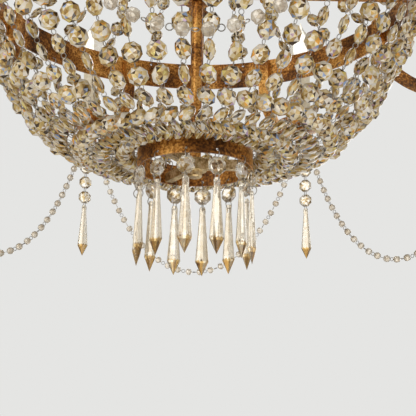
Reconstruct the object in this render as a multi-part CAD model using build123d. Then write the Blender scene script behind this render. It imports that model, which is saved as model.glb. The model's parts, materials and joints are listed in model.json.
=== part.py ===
from build123d import *
import os
from math import asin, cos, cosh, degrees, pi, radians, sin, sinh, sqrt

# Basket chandelier, hung from a ceiling by a short chain.  Millimetres, +Z up, the ceiling at Z = 0.
# Heights below are measured from the bottom edge of the basket ring, which hangs BASKET_DEPTH under
# the ceiling, and plan angles from the front (-Y) towards +X.

BASKET_DEPTH = 764.0

# basket ring: the small pierced band at the foot of the crystal basket
BASKET_R = 60.0
BASKET_WALL = 2.0
BASKET_HEIGHT = 22.0
DROP_COUNT = 12
DROP_PHASE = -8.5
DROP_HOLE_Z = 4.5

# rim ring: the large moulded band that carries arms, basket and tent
RIM_IN_R = 238.0
RIM_LOW = 190.0
RIM_HIGH = 224.0
RIM_WALL = 2.5

# crown ring at the head of the tent
CROWN_IN_R = 62.0
CROWN_LOW = 552.0
CROWN_HIGH = 570.0

HOLE_R = 1.6            # every small hole in metal that a wire ring goes through
CRYSTAL_HOLE_R = 1.25
HOLE_INSET = 2.6        # from a crystal's edge to its hole

# wire rings, links and crystals
WIRE_R = 0.5
WIRE_RING_R = 5.0       # centreline radius of a wire ring
LINK_R = 1.75           # centreline radius of the small link between two crystals
LINK_WIRE_R = 0.4
OCTAGON = 18.0          # across flats
OCTAGON_THICK = 8.0
TABLE_SHARE = 0.52      # flat middle of a crystal over its width
BASKET_GAP = 4.7        # between two crystals of a basket strand
TENT_GAP = 5.4          # between two crystals of a tent strand
SKIN = 0.2              # clearance between a crystal and the wire beside it

BASKET_STRANDS = 48
BASKET_ROWS = 12
TENT_STRANDS = 24
TENT_ROWS = 16
CLEAR_ROWS = 2          # upper rows that pass beside the arms
CLEAR_TURN = 42.0       # least turn of their crystals, which keeps them off the arms
LAST_TURN = 40.0        # most turn of a strand's last crystal, which leaves its ring free

# prisms that hang as drops
PRISM_LENGTH = 76.0
PRISM_TOP_W = 7.0
PRISM_WIDE_W = 14.5
PRISM_WIDE_AT = 60.5    # below the prism's top
PRISM_WAIST_AT = 9.0
PRISM_DEPTH_SHARE = 0.72
PRISM_HOLE_AT = 4.2

# centre column and its foot
COLUMN_R = 6.0
SPIGOT_R = 4.0
BORE_R = 3.0
THREAD_GAP = 0.06       # around every threaded or pinned joint
TRIPOD_LOW = 1.0
TRIPOD_HIGH = 11.0
TRIPOD_BAR_W = 8.0
TRIPOD_HUB_R = 12.0
WASHER_THICK = 2.0
NUT_R = 7.5
NUT_HEIGHT = 7.0
COLUMN_TOP = 592.0

# spiders of flat bar
SPIDER_LOW = 200.0
SPIDER_THICK = 5.0
SPIDER_BAR_W = 16.0
SPIDER_HUB_R = 16.0
SPIDER_HUB_LOW = 192.0
SPIDER_HUB_HIGH = 212.0
CROWN_BAR_THICK = 4.0
CROWN_BAR_W = 10.0
CROWN_HUB_R = 14.0

# arms of rectangular bar
ARM_COUNT = 8
ARM_PHASE = 22.5
ARM_W = 12.7
ARM_THICK = 9.5
ARM_TOP = 217.0
ARM_BEND_Z = 178.0
ARM_BEND_R = 20.0
ARM_BEND_TURN = 65.0
ARM_SLOPE_LENGTH = 20.0
ARM_SWEEP_R = 100.0
ARM_SWEEP_TURN = 54.14
ARM_REVERSE_R = 30.0
LAMP_R = 417.0          # from the axis to each candle
ARM_TIP = 9.0           # arm end beyond the candle's axis
SCREW_HEIGHTS = (195.0, 209.0)
SCREW_HEAD_R = 3.2
SCREW_SHANK_R = 1.5

# collar under each arm end, from which two swags and a drop hang
COLLAR_R = 11.0
COLLAR_WALL = 1.5
COLLAR_HEIGHT = 17.0
COLLAR_HOLE_Z = 4.5     # above the collar's lower edge
COLLAR_CAP = 2.0

# candle on each arm end
BOBECHE_R = 40.0
CUP_R = 16.0
CUP_HEIGHT = 22.0
SLEEVE_R = 12.5
SLEEVE_WALL = 1.2
SLEEVE_HEIGHT = 95.0
SOCKET_R = 10.5
SOCKET_HEIGHT = 28.0
POST_R = 6.0
BULB_R = 17.5
BULB_BASE_R = 6.0
INNER_LAMP_R = 100.0
INNER_SLEEVE_HEIGHT = 30.0

# bead swags
BEAD = 10.0
BEAD_PITCH = 15.85
SWAG_DROP = 196.0       # lowest bead below the holes that carry the swag

# ceiling fittings
CANOPY_R = 65.0
CANOPY_HEIGHT = 32.0
CANOPY_SHEET = 1.5
BRACKET_LENGTH = 108.0
BRACKET_W = 18.0
BRACKET_THICK = 2.5
SLOT_SPACING = 88.9
SLOT_LENGTH = 12.0
SLOT_R = 2.5
NIPPLE_R = 5.0
NIPPLE_LENGTH = 43.0
CHAIN_WIRE_R = 2.6
CHAIN_GAP = 0.3
LOOP_R = 11.0
LINK_HALF_STRAIGHT = 8.0
LINK_BEND_R = 8.5
CHAIN_LINKS = 3

os.makedirs("parts", exist_ok=True)
UP = Vector(0, 0, 1)


def save(name, solids):
    """Write the solids of one node to its file."""
    solids = [solid for shape in solids for solid in shape.solids()]
    export_step(Compound(solids), f"parts/{name}.step", write_pcurves=False)


def outward(angle):
    """Unit vector that points away from the axis at a plan angle."""
    return Vector(sin(radians(angle)), -cos(radians(angle)), 0)


def sideways(angle):
    """Unit vector along the ring at a plan angle, towards larger angles."""
    return Vector(cos(radians(angle)), sin(radians(angle)), 0)


def place(radius, angle, height):
    """Point at a radius and plan angle, a height above the basket ring's bottom edge."""
    return outward(angle) * radius + UP * (height - BASKET_DEPTH)


def radial_plane(angle):
    """Plane through the axis: its x is outward, its y is up, with heights as above."""
    return Plane(origin=(0, 0, -BASKET_DEPTH), x_dir=outward(angle), z_dir=outward(angle).cross(UP))


def turned(corners, centre=Vector(0, 0, 0)):
    """Body of revolution about a vertical line, from (radius, height) corners."""
    outline = Polyline(*[(r, 0, z) for r, z in corners], close=True)
    return Pos(*centre) * revolve(make_face(outline), Axis.Z)


def wire_ring(centre, axis, radius=WIRE_RING_R, wire=WIRE_R):
    """Closed ring of round wire about an axis."""
    return Plane(origin=centre, z_dir=axis) * Torus(radius, wire)


def pierced(body, radius, angles, height, reach, hole=HOLE_R):
    """Cut small radial holes through a wall at a radius and height."""
    for angle in angles:
        drill = Plane(origin=place(radius - reach / 2, angle, height), z_dir=outward(angle))
        body -= drill * Cylinder(hole, reach, align=(Align.CENTER, Align.CENTER, Align.MIN))
    return body


# ---------------------------------------------------------------- crystals

def faceted(rings, tip=None, head=None):
    """Closed solid of flat facets through rings of points, closed by flat ends or by apex points."""
    count = len(rings[0])
    faces = []
    for low, high in zip(rings, rings[1:]):
        for i in range(count):
            j = (i + 1) % count
            faces.append(Face(Wire.make_polygon([low[i], low[j], high[j], high[i]])))
    for ring, apex in ((rings[0], head), (rings[-1], tip)):
        if apex is None:
            faces.append(Face(Wire.make_polygon(ring)))
        else:
            for i in range(count):
                faces.append(Face(Wire.make_polygon([ring[i], ring[(i + 1) % count], apex])))
    return Solid(Shell(faces))


def polygon_ring(sides, radius, z, squash=1.0, start=0.5):
    """Regular polygon of points; start is in sides, and squash flattens it along y."""
    ring = []
    for i in range(sides):
        turn = 2 * pi * (i + start) / sides
        ring.append(Vector(radius * cos(turn), squash * radius * sin(turn), z))
    return ring


def octagon_crystal(width, thick):
    """Eight-sided crystal, its flats square to x, its faces along z."""
    corner = width / 2 / cos(pi / 8)
    table = corner * TABLE_SHARE
    return faceted([polygon_ring(8, table, -thick / 2), polygon_ring(8, corner, 0),
                    polygon_ring(8, table, thick / 2)])


def drilled(crystal):
    """Crystal with a small hole along z at each end of its x."""
    for side in (-1, 1):
        crystal -= Pos(side * (OCTAGON / 2 - HOLE_INSET), 0, 0) * Cylinder(CRYSTAL_HOLE_R, OCTAGON_THICK * 2)
    return crystal


def round_bead():
    """Faceted round bead, its wire along z."""
    half = BEAD / 2
    return faceted([polygon_ring(6, half * 0.5, -half), polygon_ring(6, half, -half * 0.4),
                    polygon_ring(6, half, half * 0.4), polygon_ring(6, half * 0.5, half)])


def prism_crystal():
    """Long six-sided prism that hangs along -z from its top, with a waist and a pointed tip."""
    levels = [(0, PRISM_TOP_W * 0.7), (2.5, PRISM_TOP_W), (PRISM_WAIST_AT, PRISM_TOP_W * 0.94),
              (PRISM_WIDE_AT, PRISM_WIDE_W)]
    rings = [polygon_ring(6, width / 2, -z, PRISM_DEPTH_SHARE, start=0) for z, width in levels]
    body = faceted(rings, tip=Vector(0, 0, -PRISM_LENGTH))
    hole = Pos(0, 0, -PRISM_HOLE_AT) * Rot(90, 0, 0) * Cylinder(CRYSTAL_HOLE_R, PRISM_TOP_W * 2)
    return body - hole


BIG_CRYSTAL = octagon_crystal(OCTAGON, OCTAGON_THICK)
DRILLED_CRYSTAL = drilled(BIG_CRYSTAL)
BEAD_CRYSTAL = round_bead()
PRISM = prism_crystal()


# ---------------------------------------------------------------- hanging curves

class Hanging:
    """A chain of given length between two points of a vertical plane, as a catenary."""

    def __init__(self, start, end, length):
        (self.x0, y0), (x1, y1) = start, end
        span = x1 - self.x0
        rise = y1 - y0
        reach = sqrt(length * length - rise * rise)
        low, high = abs(span) / 400, abs(span) * 400
        for _ in range(90):
            middle = sqrt(low * high)
            if 2 * middle * sinh(min(abs(span) / 2 / middle, 500)) > reach:
                low = middle
            else:
                high = middle
        self.a = middle
        self.sign = 1 if span > 0 else -1
        lean = 0.5 * self._log_ratio(length + rise, length - rise)
        self.bottom = abs(span) / 2 - self.a * lean
        self.y_low = y0 - self.a * cosh(-self.bottom / self.a)
        self.s0 = self.a * sinh(-self.bottom / self.a)

    @staticmethod
    def _log_ratio(above, below):
        """Natural logarithm of a ratio, from the inverse hyperbolic sine's series root."""
        low, high = -20.0, 20.0
        for _ in range(80):
            middle = (low + high) / 2
            if cosh(middle) + sinh(middle) < above / below:
                low = middle
            else:
                high = middle
        return middle

    def at(self, s):
        """Point and unit direction at a length s from the start."""
        height = (s + self.s0) / self.a
        low, high = -20.0, 20.0
        for _ in range(80):
            middle = (low + high) / 2
            if sinh(middle) < height:
                low = middle
            else:
                high = middle
        x = self.x0 + self.sign * (self.bottom + self.a * middle)
        y = self.y_low + self.a * cosh(middle)
        return (x, y), (self.sign / cosh(middle), sinh(middle) / cosh(middle))


def strand(curve, rows, gap, angle, turn_of):
    """Crystals and links of one strand that hangs in the radial plane at a plan angle."""
    plane = radial_plane(angle)
    crystals = []
    links = []
    for row in range(rows):
        s = SKIN + OCTAGON / 2 + row * (OCTAGON + gap)
        (r, z), (dr, dz) = curve.at(s)
        along = outward(angle) * dr + UP * dz
        facing = along.cross(sideways(angle))
        turn = radians(turn_of(row, r, angle))
        normal = facing * cos(turn) + sideways(angle) * sin(turn)
        spot = plane.from_local_coords((r, z, 0))
        crystals.append(Plane(origin=spot, x_dir=along, z_dir=normal) * BIG_CRYSTAL)
        if row:
            (r, z), (dr, dz) = curve.at(s - (OCTAGON + gap) / 2)
            along = outward(angle) * dr + UP * dz
            spot = plane.from_local_coords((r, z, 0))
            links.append(wire_ring(spot, along.cross(normal), LINK_R, LINK_WIRE_R))
    return crystals, links


def crowded_turn(strands, rows):
    """Turn of each crystal about its strand: slantwise where the strands crowd, freer where they part."""
    def turn_of(row, radius, angle):
        spacing = 2 * pi * radius / strands
        least = degrees(asin(min(1, (OCTAGON_THICK + 0.5) / spacing)))
        side = 1 if row % 2 else -1
        if spacing < OCTAGON * 1.12:
            return side * (least + 3)
        turn = side * ((row * 37 + round(angle * 4) * 29) % 140 - 70)
        if row < CLEAR_ROWS and abs(turn) < CLEAR_TURN:
            return side * CLEAR_TURN
        if row == rows - 1:
            return max(-LAST_TURN, min(LAST_TURN, turn))
        return turn
    return turn_of


# ---------------------------------------------------------------- rings and spiders

def basket_ring():
    """Thin band with drop holes near its lower edge and strand holes near its upper edge."""
    wall = turned([(BASKET_R - BASKET_WALL, 0), (BASKET_R, 0), (BASKET_R, BASKET_HEIGHT),
                   (BASKET_R - BASKET_WALL, BASKET_HEIGHT)], UP * -BASKET_DEPTH)
    middle = BASKET_R - BASKET_WALL / 2
    wall = pierced(wall, middle, drop_angles(), DROP_HOLE_Z, 8)
    return pierced(wall, middle, basket_angles(), BASKET_HEIGHT - DROP_HOLE_Z, 8)


def drop_angles():
    return [DROP_PHASE + 360 / DROP_COUNT * i for i in range(DROP_COUNT)]


def arm_angles():
    return [ARM_PHASE + 360 / ARM_COUNT * i for i in range(ARM_COUNT)]


def basket_angles():
    step = 360 / BASKET_STRANDS
    return [ARM_PHASE + step / 2 + step * i for i in range(BASKET_STRANDS)]


def tent_angles():
    return [360 / TENT_STRANDS * i for i in range(TENT_STRANDS)]


def rim_ring():
    """Moulded band: a plain lower strip, a bead and a stepped upper band with a thin top lip."""
    inner = RIM_IN_R
    outer = RIM_IN_R + RIM_WALL
    section = [(inner + 1, RIM_LOW), (outer + 1, RIM_LOW), (outer + 1, RIM_LOW + 11),
               (outer + 4.5, RIM_LOW + 12.5), (outer + 5.5, RIM_LOW + 15), (outer + 4.5, RIM_LOW + 17.5),
               (outer + 2.5, RIM_LOW + 18.5), (outer + 2.5, RIM_HIGH - 9), (outer, RIM_HIGH - 7.5),
               (outer, RIM_HIGH), (inner, RIM_HIGH), (inner, RIM_LOW + 13), (inner + 1, RIM_LOW + 12)]
    wall = turned(section, UP * -BASKET_DEPTH)
    middle = inner + RIM_WALL / 2
    wall = pierced(wall, middle + 1, basket_angles(), RIM_LOW + DROP_HOLE_Z, 10)
    wall = pierced(wall, middle, tent_angles(), RIM_HIGH - 4, 10)
    for height in SCREW_HEIGHTS:
        wall = pierced(wall, middle, arm_angles(), height, 24, SCREW_SHANK_R + THREAD_GAP)
    return wall


def crown_ring():
    """Small band at the head of the tent, with a rolled upper edge."""
    inner = CROWN_IN_R
    outer = CROWN_IN_R + RIM_WALL
    section = [(inner, CROWN_LOW), (outer, CROWN_LOW), (outer, CROWN_HIGH - 6), (outer + 3, CROWN_HIGH - 4),
               (outer + 3, CROWN_HIGH - 1), (outer + 1, CROWN_HIGH), (inner, CROWN_HIGH)]
    wall = turned(section, UP * -BASKET_DEPTH)
    return pierced(wall, inner + RIM_WALL / 2, tent_angles(), CROWN_LOW + 4.5, 10)


def spider(hub_r, hub_low, hub_high, bar_low, bar_thick, bar_w, reach, angles, bore):
    """Hub on the column with flat bars that reach a ring's inner wall."""
    body = turned([(bore, hub_low), (hub_r, hub_low), (hub_r, hub_high), (bore, hub_high)],
                  UP * -BASKET_DEPTH)
    start = (bore + hub_r) / 2
    for angle in angles:
        centre = place((start + reach) / 2, angle, bar_low + bar_thick / 2)
        body += Plane(origin=centre, x_dir=outward(angle), z_dir=UP) * Box(reach - start, bar_w, bar_thick)
    return body


def inner_reach(ring_r, bar_w):
    """Length of a square-ended bar whose corners just touch a ring's inner wall."""
    return sqrt(ring_r * ring_r - bar_w * bar_w / 4) - 0.02


def column():
    """Tube that runs from the crown to the basket ring, stepped down to a threaded foot."""
    foot = TRIPOD_LOW - WASHER_THICK - NUT_HEIGHT + 2
    return turned([(BORE_R, foot), (SPIGOT_R, foot), (SPIGOT_R, TRIPOD_HIGH), (COLUMN_R, TRIPOD_HIGH),
                   (COLUMN_R, COLUMN_TOP - 12), (SPIGOT_R, COLUMN_TOP - 12), (SPIGOT_R, COLUMN_TOP),
                   (BORE_R, COLUMN_TOP)], UP * -BASKET_DEPTH)


def tripod_washer():
    top = TRIPOD_LOW
    return turned([(SPIGOT_R + THREAD_GAP, top - WASHER_THICK), (TRIPOD_HUB_R, top - WASHER_THICK),
                   (TRIPOD_HUB_R, top), (SPIGOT_R + THREAD_GAP, top)], UP * -BASKET_DEPTH)


def cap_nut():
    """Blind round nut with a rounded lower edge."""
    top = TRIPOD_LOW - WASHER_THICK
    bore_end = top - NUT_HEIGHT + 1.5
    low = top - NUT_HEIGHT
    bore_r = SPIGOT_R + THREAD_GAP
    return turned([(0, low), (NUT_R - 1.5, low), (NUT_R, low + 1.5), (NUT_R, top), (bore_r, top),
                   (bore_r, bore_end), (0, bore_end)], UP * -BASKET_DEPTH)


# ---------------------------------------------------------------- arms and candles

def arm_path():
    """Centreline of an arm in (radius, height): down inside the rim ring, out, and up to the candle."""
    strap_r = RIM_IN_R - 0.1 - ARM_THICK / 2
    strap = Line((strap_r, ARM_TOP), (strap_r, ARM_BEND_Z))
    bend = JernArc(strap @ 1, strap % 1, ARM_BEND_R, ARM_BEND_TURN)
    slope = Line(bend @ 1, bend @ 1 + (bend % 1) * ARM_SLOPE_LENGTH)
    sweep = JernArc(slope @ 1, slope % 1, ARM_SWEEP_R, ARM_SWEEP_TURN)
    rise_turn = ARM_BEND_TURN + ARM_SWEEP_TURN - 90
    reverse_span = ARM_REVERSE_R * sin(radians(rise_turn))
    run = (LAMP_R - 8 - reverse_span - (sweep @ 1).X) / cos(radians(rise_turn))
    rise = Line(sweep @ 1, sweep @ 1 + (sweep % 1) * run)
    reverse = JernArc(rise @ 1, rise % 1, ARM_REVERSE_R, -rise_turn)
    tip = Line(reverse @ 1, reverse @ 1 + Vector(8 + ARM_TIP, 0))
    return Wire([strap, bend, slope, sweep, rise, reverse, tip]), (tip @ 1).Y


def arms():
    """Eight bars, each cut through for its screws and for the candle's stem."""
    path, end_height = arm_path()
    outline = make_face(path.offset_2d(ARM_THICK / 2, kind=Kind.INTERSECTION, closed=True).edges())
    blank = extrude(outline, ARM_W / 2, both=True)
    stem = Pos(LAMP_R, end_height, 0) * Rot(90, 0, 0) * Cylinder(SPIGOT_R + THREAD_GAP, 30)
    blank -= stem
    for height in SCREW_HEIGHTS:
        blank -= Pos(RIM_IN_R - 8, height, 0) * Rot(0, 90, 0) * Cylinder(SCREW_SHANK_R + THREAD_GAP, 30)
    return [radial_plane(angle) * blank for angle in arm_angles()], end_height


def arm_screws():
    """Two round-headed screws through each arm's strap into the rim ring."""
    head_r = RIM_IN_R - 0.1 - ARM_THICK
    screws = []
    for angle in arm_angles():
        for height in SCREW_HEIGHTS:
            profile = [(0, -2.2), (SCREW_HEAD_R * 0.6, -1.9), (SCREW_HEAD_R, 0), (SCREW_SHANK_R, 0),
                       (SCREW_SHANK_R, ARM_THICK + 3), (0, ARM_THICK + 3)]
            screws.append(Plane(origin=place(head_r, angle, height), z_dir=outward(angle)) * turned(profile))
    return screws


def drop_collar(under):
    """Small inverted cup with a threaded stem, pierced near its lower edge; under is its top."""
    low = under - COLLAR_HEIGHT
    stem_top = under + ARM_THICK + 6
    cup = turned([(0, under - COLLAR_CAP), (COLLAR_R - COLLAR_WALL, under - COLLAR_CAP - 2),
                  (COLLAR_R - COLLAR_WALL, low), (COLLAR_R, low), (COLLAR_R, under - 3),
                  (COLLAR_R - 3, under), (SPIGOT_R, under), (SPIGOT_R, stem_top), (0, stem_top)])
    for direction in (90, 180, 270):
        drill = Rot(0, 0, direction) * Pos(0, COLLAR_R, low + COLLAR_HOLE_Z) * Rot(90, 0, 0)
        cup -= drill * Cylinder(HOLE_R, 8)
    return cup


def bobeche(base):
    """Shallow dish under the candle with a raised rim."""
    sheet = 1.6
    return turned([(SPIGOT_R + THREAD_GAP, base), (14, base), (30, base + 3), (BOBECHE_R - 1, base + 9),
                   (BOBECHE_R, base + 10), (BOBECHE_R - sheet, base + 10.6), (29, base + 3 + sheet),
                   (14, base + sheet), (SPIGOT_R + THREAD_GAP, base + sheet)])


def candle_cup(base):
    """Turned cup that holds the candle sleeve."""
    seat = base + 8
    return turned([(SPIGOT_R + THREAD_GAP, base), (7, base), (6, base + 3), (10, base + 6), (14, base + 11),
                   (CUP_R, base + CUP_HEIGHT), (SLEEVE_R + 0.1, base + CUP_HEIGHT), (SLEEVE_R + 0.1, seat),
                   (SPIGOT_R + THREAD_GAP, seat)])


def candle_sleeve(base, height):
    """Plain tube that stands in the cup and covers the lamp holder."""
    inner = SLEEVE_R - SLEEVE_WALL
    top = base + height
    return turned([(inner, base), (SLEEVE_R, base), (SLEEVE_R, top - 2), (SLEEVE_R - 0.4, top), (inner, top)])


def candle_socket(seat, top):
    """Lamp holder inside the sleeve, on a post that stands on the cup's seat, bored for the bulb's base."""
    return turned([(0, seat), (POST_R, seat), (POST_R, top - SOCKET_HEIGHT), (SOCKET_R, top - SOCKET_HEIGHT),
                   (SOCKET_R, top),
                   (BULB_BASE_R + 0.15, top), (BULB_BASE_R + 0.15, top - 20), (0, top - 20)])


def flame_bulb(top):
    """Candle bulb with a screw base, a rounded body and a drawn-out tip; top is the holder's rim."""
    neck = Vector(BULB_BASE_R - 0.2, 0, top + 1)
    belly = Vector(BULB_R, 0, top + 26)
    tip = Vector(0, 0, top + 76)
    side = Spline(neck, belly, Vector(BULB_R * 0.45, 0, top + 58), tip,
                  tangents=[(0.6, 0, 0.8), (-0.25, 0, 1)])
    base = Polyline(neck, (BULB_BASE_R, 0, top), (BULB_BASE_R, 0, top - 16), (3, 0, top - 19),
                    (0, 0, top - 19), tip)
    return revolve(make_face([side, base]), Axis.Z)


# ---------------------------------------------------------------- hanging drops and swags

def hang(solid, top, facing, reach):
    """Hang a crystal whose flats lie along x, so that its upper flat is at a point."""
    return Plane(origin=top - UP * reach, x_dir=UP, z_dir=facing) * solid


def drop(hole, facing, count):
    """Wire ring in a hole, then drilled crystals on wire rings, then a prism; facing is the hole's axis."""
    side = facing.cross(UP)
    pieces = []
    ring_top = hole
    for _ in range(count):
        pieces.append(wire_ring(ring_top - UP * WIRE_RING_R, side))
        hole_at = ring_top - UP * 2 * WIRE_RING_R
        pieces.append(hang(DRILLED_CRYSTAL, hole_at + UP * HOLE_INSET, facing, OCTAGON / 2))
        ring_top = hole_at - UP * (OCTAGON - 2 * HOLE_INSET)
    pieces.append(wire_ring(ring_top - UP * WIRE_RING_R, side))
    prism_top = ring_top - UP * (2 * WIRE_RING_R - PRISM_HOLE_AT)
    pieces.append(Plane(origin=prism_top, x_dir=side, z_dir=UP) * PRISM)
    return pieces


def swag(first_hole, second_hole):
    """Two wire rings and a string of beads that hangs between them in a vertical plane."""
    chord = second_hole - first_hole
    direction = chord.normalized()
    side = direction.cross(UP)
    plane = Plane(origin=first_hole, x_dir=direction, z_dir=side)
    start = (0, -2 * WIRE_RING_R - WIRE_R)
    end = (chord.length, -2 * WIRE_RING_R - WIRE_R)
    beads = 1
    while lowest(start, end, beads) < SWAG_DROP:
        beads += 1
    curve = Hanging(start, end, beads * BEAD_PITCH)
    pieces = [wire_ring(spot - UP * WIRE_RING_R, side) for spot in (first_hole, second_hole)]
    for i in range(beads):
        (x, y), (dx, dy) = curve.at((i + 0.5) * BEAD_PITCH)
        along = direction * dx + UP * dy
        spot = plane.from_local_coords((x, y, 0))
        pieces.append(Plane(origin=spot, x_dir=side, z_dir=along) * BEAD_CRYSTAL)
        if i:
            (x, y), (dx, dy) = curve.at(i * BEAD_PITCH)
            across = side if i % 2 else (direction * dx + UP * dy).cross(side)
            spot = plane.from_local_coords((x, y, 0))
            pieces.append(wire_ring(spot, across, LINK_R + 0.2, LINK_WIRE_R))
    return pieces


def lowest(start, end, beads):
    """Depth of a level string's lowest point below the holes that carry it, or 0 if it doesn't reach."""
    if beads * BEAD_PITCH <= end[0] - start[0]:
        return 0
    curve = Hanging(start, end, beads * BEAD_PITCH)
    return -curve.at(beads * BEAD_PITCH / 2)[0][1]


# ---------------------------------------------------------------- ceiling fittings

def ceiling_bracket():
    """Flat crossbar with two slots for the ceiling box and a centre hole for the nipple."""
    bar = Pos(0, 0, -BRACKET_THICK / 2) * Box(BRACKET_LENGTH, BRACKET_W, BRACKET_THICK)
    bar = fillet(bar.edges().filter_by(Axis.Z), 4)
    bar -= Cylinder(NIPPLE_R + THREAD_GAP, 20)
    for side in (-1, 1):
        slot = SlotOverall(SLOT_LENGTH, 2 * SLOT_R)
        bar -= Pos(side * SLOT_SPACING / 2, 0, -BRACKET_THICK - 1) * extrude(slot, BRACKET_THICK + 2)
    return bar


def canopy():
    """Domed sheet cover that seats on the ceiling and hides the bracket."""
    sheet = CANOPY_SHEET
    return turned([(CANOPY_R - sheet, 0), (CANOPY_R, 0), (CANOPY_R, -5), (CANOPY_R - 3, -8), (46, -20),
                   (22, -CANOPY_HEIGHT + 2), (14, -CANOPY_HEIGHT), (NIPPLE_R + 0.3, -CANOPY_HEIGHT),
                   (NIPPLE_R + 0.3, -CANOPY_HEIGHT + sheet), (14, -CANOPY_HEIGHT + sheet),
                   (22 - sheet, -CANOPY_HEIGHT + 2 + sheet), (46 - sheet, -20 + sheet),
                   (CANOPY_R - 3 - sheet, -8), (CANOPY_R - sheet, -5)])


def canopy_nipple():
    """Threaded tube that joins the bracket, the canopy and the loop."""
    return turned([(3.2, -NIPPLE_LENGTH), (NIPPLE_R, -NIPPLE_LENGTH), (NIPPLE_R, -0.5), (3.2, -0.5)])


def loop_piece(seat, bore_r, base_r, height, centre_gap):
    """Collar with a round loop on its far side; height is signed, away from the seat."""
    far = seat + height
    wall = 2.5 if height > 0 else -2.5
    collar = turned([(bore_r, seat), (base_r, seat), (base_r, seat + height * 0.5), (base_r * 0.7, far),
                     (0, far), (0, far - wall), (bore_r, far - wall)])
    centre = far + (centre_gap if height > 0 else -centre_gap)
    ring = Plane(origin=(0, 0, centre), z_dir=(0, 1, 0)) * Torus(LOOP_R, CHAIN_WIRE_R)
    return collar + ring, centre


def chain_link(centre, along_x):
    """Oval link of round wire, long way up; along_x says which way its hole faces."""
    half = LINK_HALF_STRAIGHT
    bend = LINK_BEND_R
    sides = Line((-bend, -half), (-bend, half)), Line((bend, -half), (bend, half))
    arcs = (ThreePointArc((-bend, half), (0, half + bend), (bend, half)),
            ThreePointArc((-bend, -half), (0, -half - bend), (bend, -half)))
    plane = Plane(origin=centre, x_dir=(0, 1, 0) if along_x else (1, 0, 0),
                  z_dir=(1, 0, 0) if along_x else (0, -1, 0))
    path = Wire([sides[0], arcs[0], sides[1], arcs[1]])
    section = Plane(origin=(-bend, 0, 0), z_dir=(0, 1, 0)) * Circle(CHAIN_WIRE_R)
    return plane * sweep(section, path)


# ---------------------------------------------------------------- assembly

# ceiling fittings and chain; each link hangs CHAIN_GAP clear inside the one above
save("ceiling_bracket", [ceiling_bracket()])
save("canopy", [canopy()])
save("canopy_nipple", [canopy_nipple()])
seat_z = -CANOPY_HEIGHT - 0.02
loop, loop_z = loop_piece(seat_z, NIPPLE_R + THREAD_GAP, 12, -15, LOOP_R - 1)
save("canopy_loop", [loop])
wire_step = 2 * CHAIN_WIRE_R + CHAIN_GAP
hinge_z = loop_z - LOOP_R
hinges = [hinge_z]
for number in range(CHAIN_LINKS):
    link_centre = hinge_z + wire_step - LINK_BEND_R - LINK_HALF_STRAIGHT
    save(f"chain_link_{number + 1}", [chain_link((0, 0, link_centre), number % 2 == 0)])
    hinge_z = link_centre - LINK_BEND_R - LINK_HALF_STRAIGHT
    hinges.append(hinge_z)
top_loop_centre = hinge_z + wire_step - LOOP_R
top_loop_height = 18
column_seat = COLUMN_TOP - 12 - BASKET_DEPTH + 0.02
top_loop, placed_centre = loop_piece(column_seat, SPIGOT_R + THREAD_GAP, 11, top_loop_height, LOOP_R - 1)
save("top_loop", [top_loop])
print("hinges of the chain, from the ceiling:", [round(z, 3) for z in hinges])
print("top loop stands", round(placed_centre - top_loop_centre, 3), "off the chain's end")

# column, spiders, rings
save("column", [column()])
save("crown_ring", [crown_ring()])
crown_angles = [45, 165, 285]
save("crown_spider", [spider(CROWN_HUB_R, CROWN_LOW + 2, CROWN_HIGH - 2, CROWN_LOW + 8,
                             CROWN_BAR_THICK, CROWN_BAR_W, inner_reach(CROWN_IN_R, CROWN_BAR_W),
                             crown_angles, COLUMN_R + 0.03)])
save("rim_ring", [rim_ring()])
save("rim_spider", [spider(SPIDER_HUB_R, SPIDER_HUB_LOW, SPIDER_HUB_HIGH, SPIDER_LOW,
                           SPIDER_THICK, SPIDER_BAR_W, inner_reach(RIM_IN_R, SPIDER_BAR_W),
                           [0, 90, 180, 270], COLUMN_R + 0.03)])
save("basket_ring", [basket_ring()])
save("tripod", [spider(TRIPOD_HUB_R, TRIPOD_LOW, TRIPOD_HIGH, TRIPOD_LOW, TRIPOD_HIGH - TRIPOD_LOW,
                       TRIPOD_BAR_W, inner_reach(BASKET_R - BASKET_WALL, TRIPOD_BAR_W),
                       [90, 210, 330], SPIGOT_R + THREAD_GAP)])
save("tripod_washer", [tripod_washer()])
save("cap_nut", [cap_nut()])

# arms, and on each of them a collar, a dish, a cup, a sleeve, a holder and a bulb
arm_bars, arm_end = arms()
save("arms", arm_bars)
save("arm_screws", arm_screws())
arm_under = arm_end - ARM_THICK / 2
arm_over = arm_end + ARM_THICK / 2
sleeve_base = arm_over + 1.6 + 8
holder_top = sleeve_base + SLEEVE_HEIGHT - 3
lamp_parts = {
    "drop_collars": drop_collar(arm_under),
    "bobeches": bobeche(arm_over),
    "candle_cups": candle_cup(arm_over + 1.6),
    "candle_sleeves": candle_sleeve(sleeve_base, SLEEVE_HEIGHT),
    "candle_sockets": candle_socket(sleeve_base, holder_top),
    "candle_bulbs": flame_bulb(holder_top),
}
for name, blank in lamp_parts.items():
    save(name, [Pos(*place(LAMP_R, angle, 0)) * Rot(0, 0, angle) * blank for angle in arm_angles()])

# four short lamps on the rim spider's bars, inside the tent
spider_top = SPIDER_LOW + SPIDER_THICK
inner_base = spider_top + 8
inner_top = inner_base + INNER_SLEEVE_HEIGHT
inner_parts = {
    "inner_cups": candle_cup(spider_top),
    "inner_sockets": candle_socket(inner_base, inner_top),
    "inner_bulbs": flame_bulb(inner_top),
}
inner_places = [Pos(*place(INNER_LAMP_R, angle, 0)) * Rot(0, 0, angle) for angle in (0, 90, 180, 270)]
for name, blank in inner_parts.items():
    save(name, [spot * blank for spot in inner_places])

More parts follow.
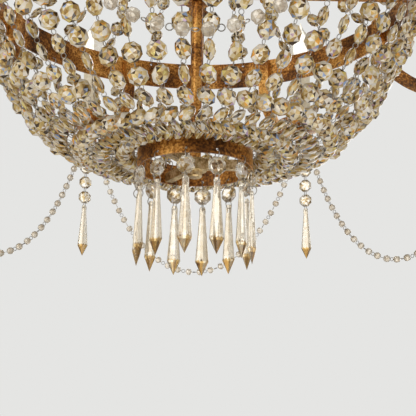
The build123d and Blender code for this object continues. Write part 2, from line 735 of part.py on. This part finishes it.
# the crystal basket: strands between the rim ring and the basket ring
rim_ring_z = RIM_LOW + DROP_HOLE_Z - WIRE_RING_R
rim_middle = RIM_IN_R + 1 + RIM_WALL / 2
foot_r = BASKET_R - BASKET_WALL / 2 + 2.2
foot_z = BASKET_HEIGHT
foot_lean = 25.0
wire_out = WIRE_RING_R + WIRE_R
basket_start = (rim_middle, rim_ring_z - wire_out)
basket_end = (foot_r + wire_out * cos(radians(foot_lean)), foot_z - wire_out * sin(radians(foot_lean)))
basket_length = 2 * SKIN + OCTAGON + (BASKET_ROWS - 1) * (OCTAGON + BASKET_GAP)
basket_curve = Hanging(basket_start, basket_end, basket_length)
basket_turn = crowded_turn(BASKET_STRANDS, BASKET_ROWS)
basket_crystals = []
basket_links = []
for angle in basket_angles():
    crystals, links = strand(basket_curve, BASKET_ROWS, BASKET_GAP, angle, basket_turn)
    basket_crystals += crystals
    basket_links += links
    basket_links.append(wire_ring(place(rim_middle, angle, rim_ring_z), sideways(angle)))
    basket_links.append(wire_ring(place(foot_r, angle, foot_z), sideways(angle)))
save("basket_crystals", basket_crystals)
save("basket_links", basket_links)

# the tent: strands between the crown ring and the rim ring's upper edge
crown_ring_r = CROWN_IN_R + RIM_WALL / 2 + 1.8
crown_ring_z = CROWN_LOW - 0.2
lip_ring_r = RIM_IN_R - 0.4
lip_ring_z = RIM_HIGH + 0.7
tent_lean = 62.0
lean_out = wire_out * cos(radians(tent_lean))
lean_down = wire_out * sin(radians(tent_lean))
tent_start = (crown_ring_r + lean_out, crown_ring_z - lean_down)
tent_end = (lip_ring_r - lean_out, lip_ring_z + lean_down)
tent_length = 2 * SKIN + OCTAGON + (TENT_ROWS - 1) * (OCTAGON + TENT_GAP)
tent_curve = Hanging(tent_start, tent_end, tent_length)
tent_turn = crowded_turn(TENT_STRANDS, TENT_ROWS)
tent_crystals = []
tent_links = []
for angle in tent_angles():
    crystals, links = strand(tent_curve, TENT_ROWS, TENT_GAP, angle, tent_turn)
    tent_crystals += crystals
    tent_links += links
    tent_links.append(wire_ring(place(crown_ring_r, angle, crown_ring_z), sideways(angle)))
    tent_links.append(wire_ring(place(lip_ring_r, angle, lip_ring_z), sideways(angle)))
save("tent_crystals", tent_crystals)
save("tent_links", tent_links)

# drops under the basket ring
hole_r = BASKET_R - BASKET_WALL / 2
for number, angle in enumerate(drop_angles()):
    hole = place(hole_r, angle, DROP_HOLE_Z)
    save(f"ring_drop_{number + 1:02d}", drop(hole, outward(angle), 1))

# drops and swags under the arm ends
collar_z = arm_under - COLLAR_HEIGHT + COLLAR_HOLE_Z
collar_hole_r = COLLAR_R - COLLAR_WALL / 2
for number, angle in enumerate(arm_angles()):
    hole = place(LAMP_R + collar_hole_r, angle, collar_z)
    save(f"arm_drop_{number + 1}", drop(hole, outward(angle), 4))
for number, angle in enumerate(arm_angles()):
    following = angle + 360 / ARM_COUNT
    first = place(LAMP_R, angle, collar_z) + sideways(angle) * collar_hole_r
    second = place(LAMP_R, following, collar_z) - sideways(following) * collar_hole_r
    save(f"swag_{number + 1}", swag(first, second))
print("collar holes at height", round(collar_z, 3), "arm end at", round(arm_end, 3))
print("basket curve lowest point", round(basket_curve.bottom, 2))
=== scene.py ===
import json
import math

import bmesh
import bpy
import numpy as np
from mathutils import Matrix, Vector


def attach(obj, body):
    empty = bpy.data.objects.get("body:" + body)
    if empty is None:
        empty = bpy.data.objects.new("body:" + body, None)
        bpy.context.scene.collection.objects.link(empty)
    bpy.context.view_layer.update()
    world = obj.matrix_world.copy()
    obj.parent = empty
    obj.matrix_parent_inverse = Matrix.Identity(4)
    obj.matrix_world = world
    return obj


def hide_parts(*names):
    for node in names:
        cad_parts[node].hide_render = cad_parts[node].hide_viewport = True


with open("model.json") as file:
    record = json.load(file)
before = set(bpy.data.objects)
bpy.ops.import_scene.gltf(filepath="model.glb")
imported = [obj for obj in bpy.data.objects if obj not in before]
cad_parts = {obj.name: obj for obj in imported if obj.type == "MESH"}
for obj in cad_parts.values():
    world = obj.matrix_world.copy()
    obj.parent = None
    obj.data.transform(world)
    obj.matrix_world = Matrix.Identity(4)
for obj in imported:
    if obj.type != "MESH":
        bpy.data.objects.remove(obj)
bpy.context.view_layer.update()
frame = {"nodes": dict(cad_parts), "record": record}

MM = 0.001
OCTAGON = 18.0 * MM        # across flats
OCTAGON_THICK = 8.0 * MM
BEAD = 10.0 * MM
RING_R = 5.0 * MM          # wire ring through the holes of two crystals
WIRE_R = 0.5 * MM
PRISM_LENGTH = 76.0        # mm, with the depths of its widest level and of the band above it
PRISM_WIDEST = 60.5
PRISM_BAND = 56.0
BASKET_DEPTH = 0.764       # ceiling to the basket ring's bottom edge


# ---------------------------------------------------------------- finishes

def new_group(name, inputs, outputs):
    """Empty shader node group with float inputs and the named outputs."""
    group = bpy.data.node_groups.new(name, "ShaderNodeTree")
    for label, value in inputs:
        socket = group.interface.new_socket(label, in_out="INPUT", socket_type="NodeSocketFloat")
        socket.default_value = value
    for label, kind in outputs:
        group.interface.new_socket(label, in_out="OUTPUT", socket_type=kind)
    return group, group.nodes.new("NodeGroupInput"), group.nodes.new("NodeGroupOutput")


def noise(tree, place, scale, detail):
    node = tree.nodes.new("ShaderNodeTexNoise")
    node.inputs["Detail"].default_value = detail
    tree.links.new(place.outputs["Object"], node.inputs["Vector"])
    tree.links.new(scale, node.inputs["Scale"])
    return node.outputs["Fac"]


def sponged_group():
    """Coarse patches broken up by fine grain, as on a hand-sponged finish."""
    group, given, out = new_group("sponged_finish", [("Patch Scale", 26.0), ("Grain Scale", 420.0)],
                                  [("Patches", "NodeSocketFloat"), ("Grain", "NodeSocketFloat")])
    place = group.nodes.new("ShaderNodeTexCoord")
    coarse = noise(group, place, given.outputs["Patch Scale"], 4.0)
    fine = noise(group, place, given.outputs["Grain Scale"], 3.0)
    mix = group.nodes.new("ShaderNodeMix")
    mix.inputs["Factor"].default_value = 0.45
    group.links.new(coarse, mix.inputs["A"])
    group.links.new(fine, mix.inputs["B"])
    group.links.new(mix.outputs["Result"], out.inputs["Patches"])
    group.links.new(fine, out.inputs["Grain"])
    return group


def depths_group():
    """Faint warm cloudiness and slightly uneven polish of old cut glass."""
    group, given, out = new_group("glass_depths", [("Cloud Scale", 160.0)],
                                  [("Veil", "NodeSocketColor"), ("Polish", "NodeSocketFloat")])
    cloud = noise(group, group.nodes.new("ShaderNodeTexCoord"), given.outputs["Cloud Scale"], 2.0)
    veil = ramp(group, [(0.35, (0.86, 0.80, 0.70)), (0.65, (1.0, 0.99, 0.96))])
    group.links.new(cloud, veil.inputs["Fac"])
    group.links.new(veil.outputs["Color"], out.inputs["Veil"])
    group.links.new(spread(group, cloud, 0.01, 0.06), out.inputs["Polish"])
    return group


def ramp(tree, stops, mode="LINEAR"):
    """Colour ramp from (place, colour) stops."""
    node = tree.nodes.new("ShaderNodeValToRGB")
    node.color_ramp.interpolation = mode
    elements = node.color_ramp.elements
    elements[0].position, elements[0].color = stops[0][0], (*stops[0][1], 1)
    elements[1].position, elements[1].color = stops[-1][0], (*stops[-1][1], 1)
    for place, colour in stops[1:-1]:
        element = elements.new(place)
        element.color = (*colour, 1)
    return node


def spread(tree, value, low, high):
    node = tree.nodes.new("ShaderNodeMapRange")
    node.inputs["To Min"].default_value = low
    node.inputs["To Max"].default_value = high
    tree.links.new(value, node.inputs["Value"])
    return node.outputs["Result"]


SPONGED = sponged_group()
DEPTHS = depths_group()


def new_material(name, group, values):
    """Material with a principled shader and one effect group set to its own values."""
    mat = bpy.data.materials.new(name)
    mat.use_nodes = True
    tree = mat.node_tree
    tree.nodes.clear()
    out = tree.nodes.new("ShaderNodeOutputMaterial")
    shader = tree.nodes.new("ShaderNodeBsdfPrincipled")
    tree.links.new(shader.outputs["BSDF"], out.inputs["Surface"])
    effect = tree.nodes.new("ShaderNodeGroup")
    effect.node_tree = group
    for label, value in values.items():
        effect.inputs[label].default_value = value
    return mat, tree, shader, effect


def surface(name, stops, patch_scale, metallic, rough, grain_scale, grain):
    """Opaque finish: colour from the patches, roughness and bump from the grain."""
    mat, tree, shader, effect = new_material(name, SPONGED,
                                             {"Patch Scale": patch_scale, "Grain Scale": grain_scale})
    colours = ramp(tree, stops)
    tree.links.new(effect.outputs["Patches"], colours.inputs["Fac"])
    tree.links.new(colours.outputs["Color"], shader.inputs["Base Color"])
    tree.links.new(spread(tree, effect.outputs["Grain"], *rough), shader.inputs["Roughness"])
    shader.inputs["Metallic"].default_value = metallic
    bump = tree.nodes.new("ShaderNodeBump")
    bump.inputs["Strength"].default_value = grain
    bump.inputs["Distance"].default_value = 0.0003
    tree.links.new(effect.outputs["Grain"], bump.inputs["Height"])
    tree.links.new(bump.outputs["Normal"], shader.inputs["Normal"])
    return mat


def cut_glass(name, stops, transmission, coat=0.4):
    """Cut glass: each facet takes its colour from the stops by the mesh's own per-facet tone; light and dark stops
    paint reflections and glints into the facets.
    """
    mat, tree, shader, effect = new_material(name, DEPTHS, {"Cloud Scale": 160.0})
    tone = tree.nodes.new("ShaderNodeAttribute")
    tone.attribute_name = "facet_reflection_tone"
    colours = ramp(tree, stops, "CONSTANT")
    tree.links.new(tone.outputs["Fac"], colours.inputs["Fac"])
    mix = tree.nodes.new("ShaderNodeMix")
    mix.data_type = "RGBA"
    mix.blend_type = "MULTIPLY"
    mix.inputs["Factor"].default_value = 1.0
    tree.links.new(colours.outputs["Color"], mix.inputs["A"])
    tree.links.new(effect.outputs["Veil"], mix.inputs["B"])
    tree.links.new(mix.outputs["Result"], shader.inputs["Base Color"])
    tree.links.new(effect.outputs["Polish"], shader.inputs["Roughness"])
    shader.inputs["Metallic"].default_value = 0.0
    shader.inputs["Transmission Weight"].default_value = transmission
    shader.inputs["IOR"].default_value = 1.52
    shader.inputs["Coat Weight"].default_value = coat
    shader.inputs["Coat Roughness"].default_value = 0.02
    return mat


# octagon facet colours: pale champagne is the glass's own tint; the amber, brown and near-black stops are painted
# reflections of dark surroundings, the white is a painted glint, and the orange, gold, blue and violet stops are
# painted coloured glints
CHAMPAGNE_AND_PAINTED_REFLECTIONS = [(0.00, (0.90, 0.78, 0.50)), (0.18, (0.70, 0.51, 0.18)), (0.38, (0.38, 0.23, 0.06)),
             (0.54, (0.05, 0.028, 0.010)), (0.66, (1.0, 0.98, 0.93)), (0.925, (0.98, 0.46, 0.06)),
             (0.948, (0.98, 0.84, 0.28)), (0.968, (0.30, 0.46, 0.86)), (0.988, (0.58, 0.42, 0.66))]
# long pendants use three bands of tones: body, pointed tip, and the octagons they hang from; the tones pick glass
# tints, painted reflections and painted glints
BODY_TONES, TIP_TONES, DROP_TONES = (0.0, 0.3), (0.3, 0.3), (0.6, 0.4)
# pale champagne is the glass's tint; the whiter body stop and the white and bluish drop stops are painted glints,
# the browns and near-black are painted reflections
PRISM_TINTS_AND_PAINTED_REFLECTIONS = [(0.00, (0.93, 0.89, 0.81)), (0.10, (0.86, 0.80, 0.70)), (0.18, (0.96, 0.94, 0.90)),
               (0.25, (0.76, 0.68, 0.55)), (0.30, (0.54, 0.32, 0.09)), (0.38, (0.24, 0.13, 0.035)),
               (0.46, (0.70, 0.46, 0.15)), (0.55, (0.92, 0.84, 0.66)), (0.60, (1.0, 0.99, 0.97)),
               (0.76, (0.86, 0.77, 0.60)), (0.84, (0.52, 0.36, 0.14)), (0.90, (0.20, 0.12, 0.05)),
               (0.94, (0.92, 0.94, 0.98))]
# bead facets: a grey-champagne tint, with lighter and darker facets as painted reflections
BEAD_TINTS_AND_PAINTED_REFLECTIONS = [(0.00, (0.76, 0.71, 0.63)), (0.40, (0.58, 0.51, 0.42)), (0.75, (0.90, 0.87, 0.82))]
BULB_TINTS = [(0.00, (0.96, 0.94, 0.90)), (1.00, (0.98, 0.97, 0.94))]
BRONZE = [(0.38, (0.065, 0.024, 0.006)), (0.46, (0.230, 0.086, 0.016)), (0.53, (0.540, 0.225, 0.040)),
          (0.61, (0.920, 0.540, 0.150))]
# lighter, more olive copy of the bronze stops, for the tripod, its washer and the cap nut
LIGHTER_STOPS = [(0.38, (0.150, 0.088, 0.034)), (0.47, (0.360, 0.235, 0.095)), (0.54, (0.600, 0.440, 0.215)),
          (0.62, (0.840, 0.700, 0.440))]
MATERIALS = {
    "bronze": surface("antique_bronze", BRONZE, 26.0, 0.60, (0.26, 0.52), 420.0, 0.35),
    "steel": surface("zinc_plate", [(0.40, (0.40, 0.40, 0.41)), (0.60, (0.62, 0.62, 0.63))], 90.0, 0.9,
                     (0.28, 0.45), 700.0, 0.15),
    "wire": surface("nickel_wire", [(0.40, (0.24, 0.22, 0.19)), (0.60, (0.50, 0.47, 0.43))], 120.0, 1.0,
                    (0.22, 0.40), 900.0, 0.05),
    "candle": surface("ivory_sleeve", [(0.40, (0.66, 0.58, 0.42)), (0.60, (0.80, 0.73, 0.58))], 30.0, 0.0,
                      (0.42, 0.60), 300.0, 0.2),
    "socket": surface("black_phenolic", [(0.40, (0.012, 0.012, 0.012)), (0.60, (0.030, 0.029, 0.028))], 60.0, 0.0,
                      (0.38, 0.52), 400.0, 0.1),
    "crystal": cut_glass("champagne_crystal", CHAMPAGNE_AND_PAINTED_REFLECTIONS, 0.42, 0.6),
    "prism": cut_glass("champagne_prism", PRISM_TINTS_AND_PAINTED_REFLECTIONS, 0.72, 0.15),
    "bead": cut_glass("bead_glass", BEAD_TINTS_AND_PAINTED_REFLECTIONS, 0.60, 0.25),
    "bulb": cut_glass("bulb_glass", BULB_TINTS, 0.85),
}
# lighter copy of the bronze finish, put on the three nodes listed below
LIGHTER_BRONZE = surface("lighter_bronze_copy", LIGHTER_STOPS, 34.0, 0.60, (0.24, 0.44), 420.0, 0.25)
LIGHTER_NODES = ("tripod", "tripod_washer", "cap_nut")


# ---------------------------------------------------------------- shapes that repeat

def finished(work, name):
    """Outward-facing mesh of one shape, checked to be closed."""
    bmesh.ops.recalc_face_normals(work, faces=work.faces[:])
    assert all(len(edge.link_faces) == 2 for edge in work.edges), name
    mesh = bpy.data.meshes.new(name)
    work.to_mesh(mesh)
    work.free()
    return mesh


def cut_stone(name, levels, low, high):
    """Convex stone: levels of (sides, radius, height, turn in sides), closed by a low and a high point."""
    work = bmesh.new()
    work.verts.new((0, 0, low))
    work.verts.new((0, 0, high))
    for sides, radius, height, turn in levels:
        for side in range(sides):
            a = 2 * math.pi * (side + turn) / sides
            work.verts.new((radius * math.cos(a), radius * math.sin(a), height))
    bmesh.ops.convex_hull(work, input=work.verts[:])
    return finished(work, name)


def octagon_shape():
    """Brilliant-cut octagon, its table cut as a star; flats square to x, faces along z."""
    corner = OCTAGON / 2 / math.cos(math.pi / 8)
    half = OCTAGON_THICK / 2
    levels = []
    for side in (-1, 1):
        levels += [(8, corner, side * 0.5 * MM, 0.5), (8, corner * 0.76, side * half * 0.64, 0.0),
                   (8, corner * 0.50, side * half * 0.96, 0.5)]
    return cut_stone("octagon", levels, -half, half)


def bead_shape():
    """Round faceted bead, its wire along z."""
    half = BEAD / 2
    levels = [(8, half * 0.80, -half * 0.60, 0.5), (8, half * 0.99, 0.0, 0.0), (8, half * 0.80, half * 0.60, 0.5)]
    return cut_stone("bead", levels, -half * 0.96, half * 0.96)


def prism_shape():
    """Long pendant that hangs along -z: narrow head, waist, flutes, toothed band and pointed tip."""
    work = bmesh.new()
    depth, radius = 0.0, 2.45 * MM
    bmesh.ops.create_circle(work, cap_ends=False, segments=12, radius=radius)
    bmesh.ops.rotate(work, verts=work.verts[:], matrix=Matrix.Rotation(math.pi / 12, 3, "Z"))
    bmesh.ops.scale(work, verts=work.verts[:], vec=(1.035, 0.62, 1))
    top = rim = work.edges[:]
    for next_depth, next_radius in ((2.5, 3.45), (9.0, 3.25), (PRISM_BAND, 6.85), (PRISM_WIDEST, 7.2)):
        grown = bmesh.ops.extrude_edge_only(work, edges=rim)["geom"]
        corners = [item for item in grown if isinstance(item, bmesh.types.BMVert)]
        rim = [item for item in grown if isinstance(item, bmesh.types.BMEdge)
               and all(corner in corners for corner in item.verts)]
        growth = next_radius * MM / radius
        bmesh.ops.scale(work, verts=corners, vec=(growth, growth, 1))
        bmesh.ops.translate(work, verts=corners, vec=(0, 0, depth - next_depth * MM))
        depth, radius = next_depth * MM, next_radius * MM
    bmesh.ops.edgeloop_fill(work, edges=top)
    end = bmesh.ops.edgeloop_fill(work, edges=rim)["faces"]
    middle = -(PRISM_BAND + PRISM_WIDEST) / 2 * MM
    band = [face for face in work.faces if abs(face.calc_center_median().z - middle) < MM]
    bmesh.ops.poke(work, faces=band)
    point = bmesh.ops.poke(work, faces=end)["verts"]
    bmesh.ops.translate(work, verts=point, vec=(0, 0, -(PRISM_LENGTH - PRISM_WIDEST) * MM))
    return finished(work, "prism")


def ring_shape(name, radius, wire, around, across):
    """Closed ring of round wire about z."""
    work = bmesh.new()
    bmesh.ops.create_circle(work, cap_ends=False, segments=across, radius=wire)
    bmesh.ops.rotate(work, verts=work.verts[:], matrix=Matrix.Rotation(math.pi / 2, 3, "X"))
    bmesh.ops.translate(work, verts=work.verts[:], vec=(radius, 0, 0))
    bmesh.ops.spin(work, geom=work.verts[:] + work.edges[:], axis=(0, 0, 1), angle=2 * math.pi, steps=around,
                   use_merge=True)
    return finished(work, name)


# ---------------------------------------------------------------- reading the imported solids

def islands(node):
    """Each separate solid of a CAD node, as an array of its distinct corners."""
    mesh = frame["nodes"][node].data
    points = np.zeros(len(mesh.vertices) * 3)
    mesh.vertices.foreach_get("co", points)
    points = points.reshape(-1, 3)
    edges = np.zeros(len(mesh.edges) * 2, dtype=np.int64)
    mesh.edges.foreach_get("vertices", edges)
    edges = edges.reshape(-1, 2)
    _, first, label = np.unique(np.round(points * 1e6).astype(np.int64), axis=0, return_index=True,
                                return_inverse=True)
    label = label.reshape(-1)
    ends = label[edges]
    group = np.arange(len(first))
    while True:
        low = np.minimum(group[ends[:, 0]], group[ends[:, 1]])
        after = group.copy()
        np.minimum.at(after, ends[:, 0], low)
        np.minimum.at(after, ends[:, 1], low)
        after = after[after]
        if (after == group).all():
            break
        group = after
    corners = points[first]
    order = np.argsort(group, kind="stable")
    cuts = np.flatnonzero(np.diff(group[order])) + 1
    return [corners[part] for part in np.split(order, cuts)]


def girdle_normal(corners, middle):
    """Facing of an octagon, from the eight corners that stand farthest from its middle."""
    reach = np.linalg.norm(corners - middle, axis=1)
    far = corners[reach > reach.max() * 0.985]
    _, axes = np.linalg.eigh(np.cov((far - far.mean(0)).T))
    return Vector(axes[:, 0])


def widest_side(corners, middle):
    """Level direction in which an upright prism is widest."""
    level = corners[:, :2] - middle[:2]
    x, y = level[np.linalg.norm(level, axis=1).argmax()]
    return Vector((x, y, 0))


def measured(corners):
    """Centre, middle, principal axes from longest to shortest, and size along each of them."""
    middle = (corners.max(0) + corners.min(0)) / 2
    centre = corners.mean(0)
    _, axes = np.linalg.eigh(np.cov((corners - centre).T))
    axes = axes[:, ::-1].T
    sizes = [float(np.ptp(corners @ axis)) for axis in axes]
    return centre, middle, axes, sizes


def turned_to(x, z, spot):
    """Placement matrix whose x and z axes follow two directions."""
    z = Vector(z).normalized()
    x = Vector(x)
    x = (x - z * x.dot(z)).normalized()
    y = z.cross(x)
    return Matrix(((x.x, y.x, z.x, spot[0]), (x.y, y.y, z.y, spot[1]), (x.z, y.z, z.z, spot[2]), (0, 0, 0, 1)))


SHAPES = {
    "octagon": octagon_shape(),
    "prism": prism_shape(),
    "bead": bead_shape(),
    "ring": ring_shape("ring", RING_R, WIRE_R, 14, 6),
    "link": ring_shape("link", 2.4 * MM, 0.4 * MM, 10, 5),
}


def sorted_pieces(node, in_strand):
    """Shape name and placement for every solid of a node."""
    found = []
    for corners in islands(node):
        centre, middle, axes, sizes = measured(corners)
        long, _, short = (Vector(a) for a in axes)
        around = math.atan2(centre[0], -centre[1])
        sideways = Vector((math.cos(around), math.sin(around), 0))
        if sizes[0] > 50 * MM:
            top = (float(middle[0]), float(middle[1]), float(corners[:, 2].max()))
            found.append(("prism", turned_to(widest_side(corners, middle), (0, 0, 1), top)))
        elif sizes[0] > 15 * MM:
            facing = girdle_normal(corners, middle)
            along = facing.cross(sideways) if in_strand else Vector((0, 0, 1))
            found.append(("octagon", turned_to(along, facing, middle)))
        elif sizes[2] > 6 * MM:
            found.append(("bead", turned_to(long.orthogonal(), long, middle)))
        else:
            name = "ring" if sizes[0] > 8 * MM else "link"
            found.append((name, turned_to(short.orthogonal(), short, centre)))
    return found


def tone_bands(shape, slot):
    """Lowest tone and range of tones of every facet of a shape."""
    faces = SHAPES[shape].polygons
    if shape == "prism":
        teeth = -(PRISM_WIDEST - 1.0) * MM
        return [TIP_TONES if face.center.z < teeth else BODY_TONES for face in faces]
    return [DROP_TONES if slot == "prism" else (0.0, 1.0)] * len(faces)


def build(name, placed, slot, body, stands_for, seed):
    """One mesh of many placed shapes, with a random tone on every facet; in the glass finishes the tone picks the
    facet's colour, painted reflections and glints among them.
    """
    work = bmesh.new()
    bands = []
    for shape, matrix in placed:
        copy = SHAPES[shape].copy()
        copy.transform(matrix)
        work.from_mesh(copy)
        bpy.data.meshes.remove(copy)
        bands += tone_bands(shape, slot)
    mesh = bpy.data.meshes.new(name)
    work.to_mesh(mesh)
    work.free()
    low, span = np.array(bands).T
    tones = low + span * np.random.default_rng(seed).random(len(bands))
    mesh.attributes.new("facet_reflection_tone", "FLOAT", "FACE").data.foreach_set("value", tones.astype(np.float32))
    piece = bpy.data.objects.new(name, mesh)
    bpy.context.scene.collection.objects.link(piece)
    mesh.materials.append(MATERIALS[slot])
    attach(piece, body)
    if stands_for:
        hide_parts(*stands_for)
    return piece


WIRES = ("ring", "link")
counts = {}
body_of_node = {n: b for b, members in frame["record"]["behaviour"]["bodies"].items() for n in members}
seed = 11
for part in ("basket", "tent"):
    crystals = sorted_pieces(f"{part}_crystals", True)
    links = sorted_pieces(f"{part}_links", True)
    counts[f"{part}_crystals"] = len(crystals)
    counts[f"{part}_links"] = len(links)
    build(f"cut_{part}_crystals", crystals, "crystal", "frame", [f"{part}_crystals"], seed)
    build(f"cut_{part}_rings", links, "wire", "frame", [f"{part}_links"], seed + 1)
    seed += 2
for node in sorted(frame["nodes"]):
    if not node.startswith(("ring_drop_", "arm_drop_", "swag_")):
        continue
    placed = sorted_pieces(node, False)
    slot = "bead" if node.startswith("swag_") else "prism"
    counts[node] = len(placed)
    build(f"cut_{node}", [p for p in placed if p[0] not in WIRES], slot, body_of_node[node], [node], seed)
    build(f"wires_{node}", [p for p in placed if p[0] in WIRES], "wire", body_of_node[node], [], seed + 1)
    seed += 2


# ---------------------------------------------------------------- carried-over metal, sleeves, holders and bulbs

slot_of = {row["node"]: row["material_slot"] for row in frame["record"]["subparts"]}
for node, piece in frame["nodes"].items():
    if piece.hide_render:
        continue
    piece.data.materials.clear()
    piece.data.materials.append(LIGHTER_BRONZE if node in LIGHTER_NODES else MATERIALS[slot_of[node]])


# ---------------------------------------------------------------- camera, light and backdrop

DISTANCE, ASIDE, BELOW = 0.8893008, 0.0024222, 0.2781851
PITCH, YAW, ROLL = 0.2615, 0.0129, -0.0112
camera = bpy.data.objects.new("camera", bpy.data.cameras.new("camera"))
bpy.context.scene.collection.objects.link(camera)
camera.data.sensor_width = 36.0
camera.data.lens = 899.7613 / 416 * 36.0
camera.data.clip_start = 0.02
turn = Matrix.Rotation(-YAW, 4, "Z") @ Matrix.Rotation(math.pi / 2 + PITCH, 4, "X") @ Matrix.Rotation(-ROLL, 4, "Z")
camera.matrix_world = Matrix.Translation((ASIDE, -DISTANCE, -BASKET_DEPTH - BELOW)) @ turn
bpy.context.scene.camera = camera


def lamp(name, spot, aim, width, power, colour):
    data = bpy.data.lights.new(name, "AREA")
    data.shape = "SQUARE"
    data.size = width
    data.energy = power
    data.color = colour
    item = bpy.data.objects.new(name, data)
    item.location = spot
    item.rotation_euler = (Vector(aim) - Vector(spot)).to_track_quat("-Z", "Y").to_euler()
    bpy.context.scene.collection.objects.link(item)


heart = (0, 0, -0.62)
lamp("key_light", (-1.5, -1.7, -0.1), heart, 2.0, 28, (1.0, 0.98, 0.94))
lamp("fill_light", (1.9, -1.2, -0.9), heart, 1.8, 13, (0.96, 0.98, 1.0))
lamp("back_light", (0.5, 2.0, -0.2), heart, 1.8, 12, (1.0, 1.0, 1.0))
lamp("under_light", (0.0, -0.7, -2.2), heart, 1.6, 12, (1.0, 0.99, 0.97))

world = bpy.data.worlds.new("studio")
bpy.context.scene.world = world
world.use_nodes = True
sky = world.node_tree
sky.nodes.clear()
ground = sky.nodes.new("ShaderNodeBackground")
end = sky.nodes.new("ShaderNodeOutputWorld")
rays = sky.nodes.new("ShaderNodeLightPath")
seen = sky.nodes.new("ShaderNodeMath")
seen.operation = "MAXIMUM"
room = sky.nodes.new("ShaderNodeMix")
room.data_type = "RGBA"
room.inputs["A"].default_value = (0.46, 0.44, 0.41, 1)
room.inputs["B"].default_value = (0.783, 0.783, 0.769, 1)
sky.links.new(rays.outputs["Is Camera Ray"], seen.inputs[0])
sky.links.new(rays.outputs["Is Transmission Ray"], seen.inputs[1])
sky.links.new(seen.outputs["Value"], room.inputs["Factor"])
sky.links.new(room.outputs["Result"], ground.inputs["Color"])
sky.links.new(ground.outputs["Background"], end.inputs["Surface"])
bpy.context.scene.view_settings.view_transform = "Standard"

print("solids read:", counts)
